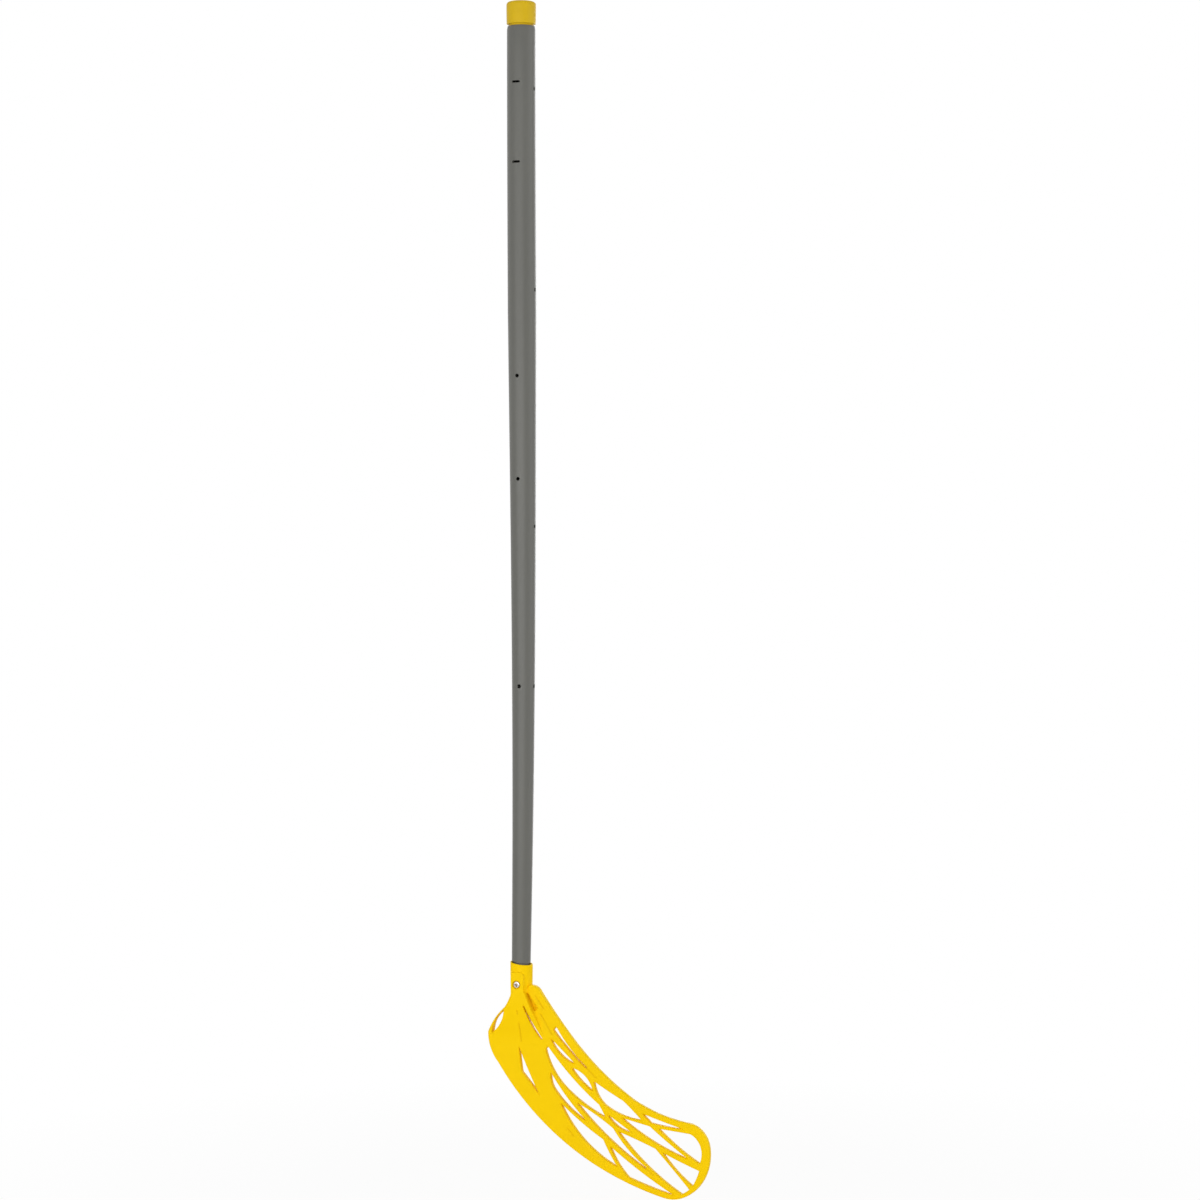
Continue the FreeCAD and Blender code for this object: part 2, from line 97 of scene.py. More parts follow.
OPENINGS = [
    [(-13.5, 42.5), (-24.5, 53.5), (-28, 65.5), (-18.5, 56)],
    [(0, 78), (1.5, 90.5), (3, 101), (10.5, 109.5), (21, 122.5), (9.5, 99.5)],
    [(35.5, 60), (54, 80.5), (69.5, 94.5), None, (70.5, 93.5), (56, 80), (38.5, 57), None],
    [(32.5, 68), (43.5, 83), (58.5, 91.5), (46.5, 80.5)],
    [
        (27.5, 78.5), (34.5, 96), (50, 115), (66, 127), (90, 139.5), (86.5, 133.5), (83, 128),
        (55.5, 104.5), (30, 76), None,
    ],
    [(54.5, 95), (63.5, 105.5), (76.5, 115.5), (69, 102.5)],
    [
        (78, 106.5), (82, 119), (90.5, 128.5), (105.5, 135.5), (127.5, 139.5), (117.5, 130.5),
        (108.5, 123), (94, 115.5),
    ],
    [(128.5, 133.5), None, (137.5, 141.5), (152, 143.5), (171.5, 145), (148, 139)],
    [(146, 146.5), (169, 164), (189, 175.5), (190, 160), (179, 149), None],
    [(107, 139), (142, 159.5), (177, 172.5), (157.5, 160), (136.5, 145), None],
    [(92, 136.5), (100.5, 145.5), (116.5, 151.5), None],
    [
        (103.5, 152), (133, 181), (170, 205.5), (174.5, 203), (178, 200.5), (161, 183.5),
        (142.5, 165.5), (124.5, 159),
    ],
    [(150, 168.5), (164.5, 184), (181.5, 197), (185.5, 190), (188.5, 182.5), (169.5, 176)],
    [(33, 100.5), (34.5, 111.5), (39, 118.5), (52, 132), (71, 145), (50.5, 124)],
    [
        (60, 127.5), (97, 161.5), (131.5, 184.5), None, (132.5, 183.5), (116, 170.5), (98, 149.5),
        (82.5, 139.5),
    ],
    [(43, 128.5), (67.5, 162), (102, 185), (94, 172.5), (87.5, 160.5), (65, 146)],
    [(95, 166.5), (102.5, 180.5), (114, 194), (138, 201.5), (161.5, 207), (127, 188)],
]
TONGUE_EDGE = [
    (-5.8, 6.5), None, (3, 6.5), (6, 8), (7, 12), None, (7, 24.5), None, (9, 28), None, (15, 42.5),
    (21.5, 56), (28, 74), None, (-28.5, 74), None, (-27, 66), (-20, 54), (-16, 43.5), (-10, 37.5),
    (-6.3, 31), (-5.9, 27.5), (-5.8, 24), None,
]
SHOULDER_RECESS = [(5, 25), None, (10.5, 27), None, (20, 40), None, (16.5, 43.5), None]

# The grooves in the blade's front face, each a line through its points.
GROOVES = [
    [(18, 29), (26, 40.5)], [(23, 46), (29, 56), (34.5, 65)], [(0.2, 43), (0.4, 45.5)],
    [(1.2, 55), (2.5, 72)], [(70, 94), (80, 103)], [(132, 184), (140, 189.5)], [(50.5, 152), (57, 159.5)],
]
GROOVE_WIDTH, GROOVE_DEPTH = 0.75, 0.55

# How far the blade's middle surface lies in front of the shaft's axis, how far from the axis the face and
# the floor of a screw's seat are, and how far from an opening its distance is worked out.
SETBACK = 3.0
SEAT_FACE, SEAT_FLOOR = 12.2, 9.8
OPENING_REACH = 9.0

# The shaft's openings: the way each goes through, its drop from the butt, and its width and height.
FRONT_TO_BACK, SIDE_TO_SIDE = (0, 1), (1, 0)
SLOT, HOLE = (8, 2.2), (3.8, 3.8)
SHAFT_OPENINGS = [
    *[(FRONT_TO_BACK, drop, SLOT) for drop in (54, 130)],
    *[(FRONT_TO_BACK, drop, HOLE) for drop in (333, 431, 628)],
    *[(SIDE_TO_SIDE, drop, HOLE) for drop in (60, 251, 476, 628)],
]

# A screw's head: the radius of its upper edge and the height of its dome.
HEAD_ROUND, HEAD_DOME = 0.5, 0.35


def length(name, description, default):
    """A property for a length in metres, from its default in millimetres."""
    return bpy.props.FloatProperty(
        name=name, description=description, default=default * MM, min=0.0, precision=5,
        subtype="DISTANCE", unit="LENGTH",
    )


def level(name, description, default):
    """A property for how strong a light is."""
    return bpy.props.FloatProperty(name=name, description=description, default=default, min=0.0)


def colour(name, description, default):
    """A property for a colour, written as the values a picture of it has from 0 to 255, which the usual
    picture curve turns into shares of light."""
    written = [value / 255 for value in default]
    linear = [value / 12.92 if value < 0.04045 else ((value + 0.055) / 1.055) ** 2.4 for value in written]
    return bpy.props.FloatVectorProperty(
        name=name, description=description, default=linear, size=3, min=0.0, max=1.0, subtype="COLOR"
    )


class StickShaftSettings(bpy.types.PropertyGroup):
    neck_radius: length("Neck radius", "Radius of the tube at the blade's socket", 9.0)
    wall: length("Wall", "Thickness of the tube's wall", 2.2)
    spigot_radius: length("Spigot radius", "Radius of the end inside the socket", 7.8)
    lip_depth: length("Lip depth", "How far the tube's full size goes into the socket", 5.0)
    solid_end: length("Solid end", "Length of tube that is solid above the spigot", 20.0)
    rim_groove: length("Rim groove", "Depth of the dark groove round the tube above the socket's rim", 1.5)
    butt_chamfer: length("Butt chamfer", "How much the tube narrows at its butt", 0.5)
    bow: length("Bow", "How far the tube bows to the toe's side between its ends", 2.4)
    tone: colour("Colour", "Grey of the moulded tube", (100, 100, 95))


class StickCapSettings(bpy.types.PropertyGroup):
    corner: length("Corner", "Radius of the head's rounded edge", 3.3)
    hem: length("Hem", "Radius of the head's lower edge", 0.8)
    tuck: length("Tuck", "How much the head narrows from its middle to its hem", 0.25)
    seam: length("Seam", "Open seam between the head's hem and the tube's butt", 1.8)
    roof: length("Roof", "Thickness of the head over the plug's hollow", 4.0)
    plug_wall: length("Plug wall", "Thickness of the plug's wall", 2.4)
    plug_gap: length("Plug gap", "Room between the plug and the tube's bore", 0.15)
    # Partly the cap's own ochre and partly painted shade: the written yellow is darker than the blade's to
    # stand in for the dimmer light at the top of the stick.
    tone: colour("Colour", "Ochre yellow of the cap", (212, 176, 24))


class StickBladeSettings(bpy.types.PropertyGroup):
    half_thickness: length("Half thickness", "Half the thickness of the blade's rim", 3.0)
    edge_round: length("Edge round", "Radius of the edges of the rim and ribs", 1.2)
    hook_radius: length("Hook radius", "Radius of the blade's curve towards its front", 1100.0)
    socket_radius: length("Socket radius", "Outer radius of the socket", 10.3)
    screw_seat: length("Screw seat", "Radius of the recess round a screw's head", 4.0)
    slant: bpy.props.FloatProperty(
        name="Slant", default=0.24,
        description="Lean of the opening beside the tongue, away from the toe for each unit back",
    )
    tone: colour("Colour", "Yellow of the moulded blade", (254, 210, 8))
    # Painted shade: this darker yellow stands in for the shade down in the grooves of the front face.
    groove_shade_tone: colour("Groove colour", "Darker yellow down in the front face's grooves", (236, 190, 5))


class StickScrewSettings(bpy.types.PropertyGroup):
    head_height: length("Head height", "Height of the screw's head", 2.2)
    shank_radius: length("Shank radius", "Radius of the thread's crest", 1.9)
    pitch: length("Pitch", "Rise of the thread in one turn", 1.4)
    cross_span: length("Cross span", "Length of the recess from end to end", 3.6)
    cross_width: length("Cross width", "Width of each arm of the recess", 1.05)
    cross_depth: length("Cross depth", "Depth of the recess", 1.1)
    tone: colour("Colour", "Colour of the plated steel", (205, 205, 200))
    # Painted shade: this dull brown stands in for the shade down in the cross recess.
    recess_shade_tone: colour("Recess colour", "Dull brown down in the cross recess", (140, 112, 98))


class StickStageSettings(bpy.types.PropertyGroup):
    camera_turn: bpy.props.FloatProperty(
        name="Camera turn", description="Turn of the camera about the shaft from the blade's front",
        default=math.radians(22.0), subtype="ANGLE", unit="ROTATION",
    )
    camera_distance: length("Camera distance", "Distance of the camera from the shaft", 3427.5)
    camera_side: length("Camera side", "Shift of the camera to the blade's side", 75.0)
    camera_drop: length("Camera drop", "Drop of the camera below the grip's middle", 410.0)
    front_level: level("Front light", "Power of the front light", 74.0)
    side_level: level("Side light", "Power of the side light", 20.0)
    rear_level: level("Rear light", "Power of the rear light", 30.0)
    sky_level: level("Sky", "Level of the light from all round", 0.5)


def arc_points(start, middle, end, shares):
    """Circle through the three points of each side, about the centre that is as far from all three, at the
    given shares of the angle from the first to the last. Where the three lie in a line, the straight line
    between the ends."""
    (x1, y1), (x2, y2), (x3, y3) = start.T, middle.T, end.T
    area = 2 * (x1 * (y2 - y3) + x2 * (y3 - y1) + x3 * (y1 - y2))
    flat = np.abs(area) < TINY
    scale = np.where(flat, 1.0, area)
    s1, s2, s3 = x1 * x1 + y1 * y1, x2 * x2 + y2 * y2, x3 * x3 + y3 * y3
    centre = np.stack([
        (s1 * (y2 - y3) + s2 * (y3 - y1) + s3 * (y1 - y2)) / scale,
        (s1 * (x3 - x2) + s2 * (x1 - x3) + s3 * (x2 - x1)) / scale,
    ], 1)
    first, via, last = [np.arctan2(*(point - centre).T[::-1]) for point in (start, middle, end)]
    sweep = (last - first) % (2 * np.pi)
    sweep = np.where((via - first) % (2 * np.pi) > sweep, sweep - 2 * np.pi, sweep)
    angle = first[:, None] + sweep[:, None] * shares
    radius = np.hypot(*(start - centre).T)
    directions = np.stack([np.cos(angle), np.sin(angle)], 2)
    round_side = centre[:, None] + radius[:, None, None] * directions
    straight_side = start[:, None] + (end - start)[:, None] * shares[None, :, None]
    return np.where(flat[:, None, None], straight_side, round_side)


def loop_points(loop, steps=14):
    """Points round a closed loop of corners and bends, in equal steps along each side."""
    start = np.array(loop[0::2], float)
    end = np.roll(start, -1, axis=0)
    sides = zip(start, end, loop[1::2])
    middle = np.array([(a + b) / 2 if bend is None else bend for a, b, bend in sides], float)
    return arc_points(start, middle, end, np.arange(steps) / steps).reshape(-1, 2)


def drawn_distance(points, across, down, reach, closed=True):
    """Distance from each place of the drawing to the nearest side of the line through the points, up to the
    reach. Inside a closed line, where a ray to the right crosses an odd count of sides, it is negative."""
    across, down = np.broadcast_arrays(across, down)
    low, high = points.min(axis=0) - reach, points.max(axis=0) + reach
    close = (across > low[0]) & (across < high[0]) & (down > low[1]) & (down < high[1])
    x, y = across[close], down[close]
    near = np.full(x.shape, reach * reach)
    inside = np.zeros(x.shape, bool)
    ends = np.roll(points, -1, axis=0) if closed else points[1:]
    for (ax, ay), (bx, by) in zip(points, ends):
        ex, ey = bx - ax, by - ay
        side_square = max(ex * ex + ey * ey, TINY * TINY)
        share = np.clip(((x - ax) * ex + (y - ay) * ey) / side_square, 0, 1)
        near = np.minimum(near, (x - ax - share * ex) ** 2 + (y - ay - share * ey) ** 2)
        if closed and ay != by:
            inside ^= ((ay > y) != (by > y)) & (x < ax + (y - ay) * ex / ey)
    field = np.full(across.shape, reach)
    field[close] = np.where(inside, -1, 1) * np.sqrt(near)
    return field


def ease(value, low, high):
    """Smooth step from 0 at low to 1 at high, with level ends."""
    share = np.clip((value - low) / (high - low), 0, 1)
    return share * share * (3 - 2 * share)


def hump(value, low, full, lessening, high):
    """Smooth step from 0 at low to 1 at full, times the one from 1 at lessening to 0 at high."""
    return ease(value, low, full) * (1 - ease(value, lessening, high))


def rounded_both(a, b, radius):
    """Where both fields are inside: the larger of them, with the corner between rounded to the radius."""
    a, b = a + radius, b + radius
    return np.minimum(np.maximum(a, b), 0) + np.hypot(np.maximum(a, 0), np.maximum(b, 0)) - radius


def blended(a, b, width):
    """Where either field is inside: the smaller of them, less a fillet of about the width between."""
    share = np.clip(0.5 + 0.5 * (b - a) / width, 0, 1)
    return b + (a - b) * share - width * share * (1 - share)


def grid_line(stretches, nearest=0.4):
    """Grid places from stretches of (start, step), each up to the next start less a share of its step."""
    pairs = zip(stretches, stretches[1:])
    lines = [np.arange(start, end - nearest * step, step) for (start, step), (end, _) in pairs]
    return np.concatenate(lines)


def surface_net(axes, field):
    """Closed skin of the part where the field is negative: one point in each grid cell that the surface
    crosses, at the mean of the crossings on its edges, and one quad round each grid edge whose two ends
    differ in sign."""
    cell_counts = tuple(np.array(field.shape) - 1)
    inside = field < 0
    cells, places = [], []
    for axis, line in enumerate(axes):
        low, high = [slice(None)] * 3, [slice(None)] * 3
        low[axis], high[axis] = slice(None, -1), slice(1, None)
        low, high = tuple(low), tuple(high)
        crossed = np.nonzero(inside[low] != inside[high])
        first, last = field[low][crossed], field[high][crossed]
        place = np.stack([along[index] for along, index in zip(axes, crossed)], 1)
        place[:, axis] += first / (first - last) * (line[crossed[axis] + 1] - line[crossed[axis]])
        corners = np.repeat(np.stack(crossed, 1)[:, None, :], 4, axis=1)
        corners[:, :, (axis + 1) % 3] += np.array([-1, 0, 0, -1])
        corners[:, :, (axis + 2) % 3] += np.array([-1, -1, 0, 0])
        cell = np.ravel_multi_index(tuple(np.moveaxis(corners, 2, 0)), cell_counts)
        cells.append(np.where((first < 0)[:, None], cell, cell[:, ::-1]))
        places.append(place)
    cell, place = np.concatenate(cells), np.concatenate(places)
    quads = np.unique(cell, return_inverse=True)[1].reshape(cell.shape)
    sums = [np.bincount(quads.ravel(), np.repeat(column, 4)) for column in place.T]
    return np.stack(sums, 1) / np.bincount(quads.ravel())[:, None], quads


def point_normals(points, quads):
    """Mean direction of the faces round each point. A quad faces along its diagonals' cross product."""
    corner = points[quads]
    facing = np.cross(corner[:, 2] - corner[:, 0], corner[:, 3] - corner[:, 1])
    columns = np.repeat(facing, 4, axis=0).T
    total = np.stack([np.bincount(quads.ravel(), column, len(points)) for column in columns], 1)
    return total / np.linalg.norm(total, axis=1, keepdims=True)


def settled(points, quads, distance, rounds=3, probe=0.04, least_rise=0.4, longest=0.3):
    """Moves each point along its normal onto the surface: the step is the field there over its rise along
    the normal, and no step is longer than the longest."""
    for _ in range(rounds):
        normal = point_normals(points, quads)
        here = distance(*points.T)
        rise = (distance(*(points + probe * normal).T) - here) / probe
        step = np.clip(here / np.maximum(rise, least_rise), -longest, longest)
        points = points - normal * step[:, None]
    return points


def full_turn(segments):
    """Equal angles round a full turn."""
    return np.arange(segments) * 2 * np.pi / segments


def ring_points(radius, height, angle):
    """Points of rings about the Z axis: each radius and height at each of the angles."""
    return np.stack([radius * np.cos(angle), radius * np.sin(angle), height + 0 * angle], -1)


def grid_quads(rows, columns):
    """Quads of a grid of rows whose columns close round on themselves."""
    row, column = np.meshgrid(np.arange(rows - 1), np.arange(columns), indexing="ij")
    beside = (column + 1) % columns
    here, below = row * columns, (row + 1) * columns
    return np.stack([below + column, below + beside, here + beside, here + column], 2).reshape(-1, 4)


def fan(centre, ring):
    """Triangles from a centre point to each pair of neighbours round a ring of points."""
    return np.stack([np.full(len(ring), centre), ring, np.roll(ring, -1)], 1)


def capped_rings(rings, first_pole, last_pole):
    """Closed skin over rings of points: quads from each ring to the next, and a fan from a pole at each
    end. It faces outward if the rings turn left as seen from outside the first pole."""
    rows, segments = rings.shape[:2]
    count = rows * segments
    ring = np.arange(segments)
    points = np.concatenate([rings.reshape(-1, 3), [first_pole, last_pole]])
    last_fan = fan(count + 1, count - segments + ring)[:, (0, 2, 1)]
    return points, grid_quads(rows, segments), np.concatenate([fan(count, ring), last_fan])


def turned(profile, segments):
    """Surface of revolution about the Z axis: each profile point (radius, height) is swept through equal
    angles, and the profile's two ends, which lie on the axis, are the poles."""
    radius, height = profile.T
    rings = ring_points(radius[1:-1, None], height[1:-1, None], full_turn(segments))
    return capped_rings(rings, (0, 0, height[0]), (0, 0, height[-1]))


def rounded_edge(centre, radius, start, end, steps):
    """Arc of a profile about its centre, from one angle to the other in degrees."""
    angle = np.radians(np.linspace(start, end, steps))
    return np.stack([centre[0] + radius * np.cos(angle), centre[1] + radius * np.sin(angle)], 1)


def mesh_of(name, points, quads, triangles=()):
    """Mesh of points in millimetres with quads and triangles."""
    mesh = bpy.data.meshes.new(name)
    triangles = np.asarray(triangles, int).reshape(-1, 3)
    corners = np.concatenate([quads.ravel(), triangles.ravel()]).astype(np.int32)
    sizes = np.concatenate([np.full(len(quads), 4), np.full(len(triangles), 3)])
    starts = np.concatenate([[0], np.cumsum(sizes)[:-1]]).astype(np.int32)
    mesh.vertices.add(len(points))
    mesh.vertices.foreach_set("co", (points * MM).astype(np.float32).ravel())
    mesh.loops.add(len(corners))
    mesh.loops.foreach_set("vertex_index", corners)
    mesh.polygons.add(len(sizes))
    mesh.polygons.foreach_set("loop_start", starts)
    mesh.update(calc_edges=True)
    if mesh.validate():
        raise RuntimeError(f"{name} has faulty faces")
    return mesh


def smooth(mesh, degrees):
    """Smooth shading that keeps edges sharper than the angle."""
    mesh.polygons.foreach_set("use_smooth", np.ones(len(mesh.polygons), bool))
    mesh.set_sharp_from_angle(angle=math.radians(degrees))
    mesh.update()


def mark(mesh, name, shares):
    """Keeps a share for each point of a mesh, under a name that its material reads."""
    mesh.attributes.new(name, "FLOAT", "POINT").data.foreach_set("value", shares.astype(np.float32))


def place_piece(mesh, body, node, material):
    """Puts a mesh into the scene as a piece that rides its body in place of its solid."""
    piece = bpy.data.objects.new(mesh.name, mesh)
    bpy.context.scene.collection.objects.link(piece)
    mesh.materials.append(material)
    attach(piece, body)
    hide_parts(node)
    return piece


def nodes_of(name):
    """A new material with its node tree, its surface shader and its Object coordinates."""
    material = bpy.data.materials.new(name)
    material.use_nodes = True
    tree = material.node_tree
    shader = tree.nodes["Principled BSDF"]
    coordinates = tree.nodes.new("ShaderNodeTexCoord").outputs["Object"]
    return material, tree, shader, coordinates


def fill(tree, node, inputs):
    """Sets each input of a node to its value, or links it from another node's output."""
    for name, value in inputs.items():
        if isinstance(value, bpy.types.NodeSocket):
            tree.links.new(value, node.inputs[name])
        else:
            node.inputs[name].default_value = value


def added(tree, kind, output, inputs, **settings):
    """A new node with its settings and inputs, given by the output that is read from it."""
    node = tree.nodes.new(kind)
    for name, value in settings.items():
        setattr(node, name, value)
    fill(tree, node, inputs)
    return node.outputs[output]


def mapped(tree, coordinates, scale, location=(0.0, 0.0, 0.0)):
    """Coordinates times a scale, plus a location."""
    inputs = {"Vector": coordinates, "Scale": scale, "Location": location}
    return added(tree, "ShaderNodeMapping", "Vector", inputs)


def noise(tree, coordinates, scale, detail=3.0):
    """Noise of the given scale in each unit of the coordinates."""
    inputs = {"Vector": coordinates, "Scale": scale, "Detail": detail}
    return added(tree, "ShaderNodeTexNoise", "Fac", inputs)


def marked(tree, name):
    """The share that a mesh keeps under a name."""
    return added(tree, "ShaderNodeAttribute", "Fac", {}, attribute_name=name)


def ramp(tree, factor, first, last, low=NOISE_LOW, high=NOISE_HIGH):
    """Colour ramp between two colours over a part of the factor's range."""
    node = tree.nodes.new("ShaderNodeValToRGB")
    for element, place, tone in zip(node.color_ramp.elements, (low, high), (first, last)):
        element.position = place
        element.color = (*tone, 1)
    fill(tree, node, {"Fac": factor})
    return node.outputs["Color"]


def spread(tree, factor, low, high):
    """A factor's middle range spread between two values."""
    inputs = {"Value": factor, "From Min": NOISE_LOW, "From Max": NOISE_HIGH, "To Min": low, "To Max": high}
    return added(tree, "ShaderNodeMapRange", "Result", inputs)


def grain(tree, height, strength, distance):
    """Normal of a fine relief from a height, with its distance in millimetres."""
    inputs = {"Height": height, "Strength": strength, "Distance": distance * MM}
    return added(tree, "ShaderNodeBump", "Normal", inputs)


def joined_values(tree, operation, first, second):
    """Two values joined by an operation such as their product or the larger of them."""
    return added(tree, "ShaderNodeMath", "Value", {0: first, 1: second}, operation=operation)


def mixed_shaders(tree, factor, first, second):
    """Mix of two shaders, the second by the factor and the first by the rest."""
    return added(tree, "ShaderNodeMixShader", "Shader", {"Fac": factor, 1: first, 2: second})


def seen_directly(tree):
    """1 for rays from the camera and for mirrored and refracted ones: the largest of the three marks."""
    path = tree.nodes.new("ShaderNodeLightPath")
    seen = path.outputs["Is Camera Ray"]
    for name in ("Is Glossy Ray", "Is Transmission Ray"):
        seen = joined_values(tree, "MAXIMUM", seen, path.outputs[name])
    return seen


def moulded_plastic(name, tone, contrast, mottle, roughness, gloss, relief, stretch=(1.0, 1.0, 1.0)):
    """Moulded plastic: a tone that drifts a little, drawn out by the stretch, a roughness that drifts in
    finer spots, and fine relief."""
    fine_mottle, pores = mottle * 5, 1100.0
    material, tree, shader, coordinates = nodes_of(name)
    darker = [value * (1 - contrast) for value in tone]
    lighter = [min(1.0, value * (1 + contrast)) for value in tone]
    drift = noise(tree, mapped(tree, coordinates, stretch), mottle, detail=4.0)
    fill(tree, shader, {
        "Base Color": ramp(tree, drift, darker, lighter),
        "Roughness": spread(tree, noise(tree, coordinates, fine_mottle), *roughness),
        "Specular IOR Level": gloss,
        "Normal": grain(tree, noise(tree, coordinates, pores, detail=2.0), *relief),
    })
    return material


def paint_groove_shade(material, tone):
    """Paints shade into a plastic's colour: turns it towards the tone where the mesh says a place is down
    in a groove.
    """
    tree = material.node_tree
    base = tree.nodes["Principled BSDF"].inputs["Base Color"]
    mixed = tree.nodes.new("ShaderNodeMix")
    mixed.data_type = "RGBA"
    fill(tree, mixed, {"Factor": marked(tree, "groove")})
    plain, painted_shade = [socket for socket in mixed.inputs if socket.type == "RGBA"]
    painted_shade.default_value = (*tone, 1)
    tree.links.new(base.links[0].from_socket, plain)
    tree.links.new([socket for socket in mixed.outputs if socket.type == "RGBA"][0], base)


def plated_steel(name, tone, recess_shade_tone):
    """Bright plated steel with fine turning marks, and painted shade, a dull brown, where the mesh marks
    the cross recess.
    """
    patches, marks, roughness = 2500.0, 4000.0, (0.2, 0.36)
    material, tree, shader, coordinates = nodes_of(name)
    fill(tree, shader, {
        "Base Color": ramp(tree, marked(tree, "recess"), tone, recess_shade_tone, low=0.1, high=0.8),
        "Roughness": spread(tree, noise(tree, coordinates, patches), *roughness),
        "Metallic": 1.0,
        "Normal": grain(tree, noise(tree, coordinates, marks), strength=0.05, distance=0.02),
    })
    return material


def rim_slope(x, y):
    """Drop of the socket's rim, which slopes down to the toe and a little to the front."""
    toe_fall, front_fall = 0.16, 0.07
    return toe_fall * x - front_fall * y


def shaft_profile(settings):
    """Half section of the tube from the closed end of its bore: up the bore, over the chamfered butt, down
    the cylindrical grip and the straight taper, round the groove at the socket's rim, and on to the lip and
    the spigot."""
    butt_round, butt_fall, bore_step, taper_stop, spigot_chamfer = 0.5, 3.2, 100.0, 16.0, 0.8
    wall = settings.wall / MM
    neck, spigot = settings.neck_radius / MM, settings.spigot_radius / MM
    bore = GRIP_RADIUS - wall
    lip = TAPER_END - settings.lip_depth / MM
    bore_end = TAPER_END + settings.solid_end / MM
    taper_top = BUTT - GRIP_LENGTH
    slope = (GRIP_RADIUS - neck) / (taper_top - TAPER_END)
    inner = np.linspace(bore_end, taper_top, 24)
    grip = np.linspace(BUTT - butt_fall, taper_top, 12)[:-1]
    outer = np.linspace(taper_top, TAPER_END + taper_stop, 28)
    butt_centre = (GRIP_RADIUS - settings.butt_chamfer / MM - butt_round, BUTT - butt_round)
    groove, groove_top, groove_end = neck - settings.rim_groove / MM, RIM + 1.0, RIM - 2.0
    edge_break, top_lean, end_lean = 0.3, 0.1, 0.6
    return np.concatenate([
        [(0, bore_end)],
        np.stack([neck + slope * (inner - TAPER_END) - wall, inner], 1),
        [(bore, BUTT - bore_step), (bore, BUTT)],
        rounded_edge(butt_centre, butt_round, 90, 15, 6),
        np.stack([np.full(len(grip), GRIP_RADIUS), grip], 1),
        np.stack([neck + slope * (outer - TAPER_END), outer], 1),
        [(neck, groove_top + edge_break), (neck - edge_break, groove_top), (groove, groove_top - top_lean)],
        [(groove, groove_end), (neck, groove_end - end_lean), (neck, lip), (spigot, lip)],
        [(spigot, SPIGOT_END + spigot_chamfer), (spigot - spigot_chamfer, SPIGOT_END), (0, SPIGOT_END)],
    ])


def tilt_rim_groove(points):
    """Lets the groove round the tube fall with the socket's rim, by all of the rim's drop near the rim and
    none further off."""
    none_under, all_under, all_over, none_over = RIM - 5, RIM - 2, RIM + 3, RIM + 14
    x, y, height = points.T
    points[:, 2] -= hump(height, none_under, all_under, all_over, none_over) * rim_slope(x, y)


def opening_prisms(segments=24, reach=20.0):
    """Long-hole prisms for the shaft's openings: two half circles joined by straight sides, carried right
    through the tube."""
    turn = full_turn(segments) + np.pi / segments
    upright = np.array([0.0, 0.0, 1.0])
    points, quads, fans = [], [], []
    for number, (way, drop, (width, height)) in enumerate(SHAFT_OPENINGS):
        along = np.array([*way, 0.0])
        over = np.cross(along, upright)
        across = np.cos(turn) * height / 2 + np.sign(np.cos(turn)) * (width - height) / 2
        middle = (BUTT - drop) * upright
        section = middle + np.outer(across, over) + np.outer(np.sin(turn) * height / 2, upright)
        rings = np.stack([section - reach * along, section + reach * along])
        prism = capped_rings(rings, middle - reach * along, middle + reach * along)
        first = number * len(prism[0])
        points.append(prism[0])
        quads.append(prism[1] + first)
        fans.append(prism[2] + first)
    return np.concatenate(points), np.concatenate(quads), np.concatenate(fans)


def cut_openings(piece):
    """Cuts the shaft's openings through its walls."""
    cutter = bpy.data.objects.new("opening_prisms", mesh_of("opening_prisms", *opening_prisms()))
    bpy.context.scene.collection.objects.link(cutter)
    cut = piece.modifiers.new("Openings", "BOOLEAN")
    cut.operation, cut.solver, cut.object = "DIFFERENCE", "EXACT", cutter
    depsgraph = bpy.context.evaluated_depsgraph_get()
    result = bpy.data.meshes.new_from_object(piece.evaluated_get(depsgraph))
    piece.modifiers.clear()
    plain, piece.data = piece.data, result
    bpy.data.meshes.remove(plain)
    bpy.data.meshes.remove(cutter.data)
    result.name = piece.name


def bend_tube(mesh, bow, draw=1.8):
    """Bows the tube to the toe's side by a half wave of the share of its length, where a power of the share
    draws the wave towards the blade's end."""
    places = np.empty(len(mesh.vertices) * 3, np.float32)
    mesh.vertices.foreach_get("co", places)
    places = places.reshape(-1, 3)
    share = np.clip((BUTT * MM - places[:, 2]) / ((BUTT - TAPER_END) * MM), 0, 1)
    places[:, 0] += bow * np.sin(np.pi * share ** draw)
    mesh.vertices.foreach_set("co", places.ravel())


def cap_profile(settings, wall):
    """Half section of the cap from the middle of its top: a head with a rounded top edge and a side drawn
    in to its hem by the square of the way down, and a hollow chamfered plug."""
    top_rings, neck_chamfer, plug_chamfer = (0, 4, 8), 0.4, 1.0
    corner, hem, tuck = settings.corner / MM, settings.hem / MM, settings.tuck / MM
    plug = GRIP_RADIUS - wall - settings.plug_gap / MM
    hollow = plug - settings.plug_wall / MM
    ceiling = CAP_TOP - settings.roof / MM
    under = BUTT + settings.seam / MM
    low = under + hem
    up = np.linspace(0, 1, 12)[::-1]
    side = np.stack([CAP_RADIUS - tuck * (1 - up) ** 2, low + (CAP_TOP - corner - low) * up], 1)
    return np.concatenate([
        [(radius, CAP_TOP) for radius in top_rings],
        rounded_edge((CAP_RADIUS - corner, CAP_TOP - corner), corner, 90, 0, 14),
        side[1:],
        rounded_edge((CAP_RADIUS - tuck - hem, low), hem, 0, -90, 8)[1:],
        [(plug + neck_chamfer, under), (plug, under - neck_chamfer)],
        [(plug, PLUG_END + plug_chamfer), (plug - plug_chamfer, PLUG_END), (hollow, PLUG_END)],
        [(hollow, ceiling - plug_chamfer), (hollow - plug_chamfer, ceiling), (0, ceiling)],
    ])


def mid_surface(x, hook):
    """The blade's middle surface: a circle's arc across the blade that bends towards the front."""
    return -SETBACK - (hook - np.sqrt(hook * hook - x * x))


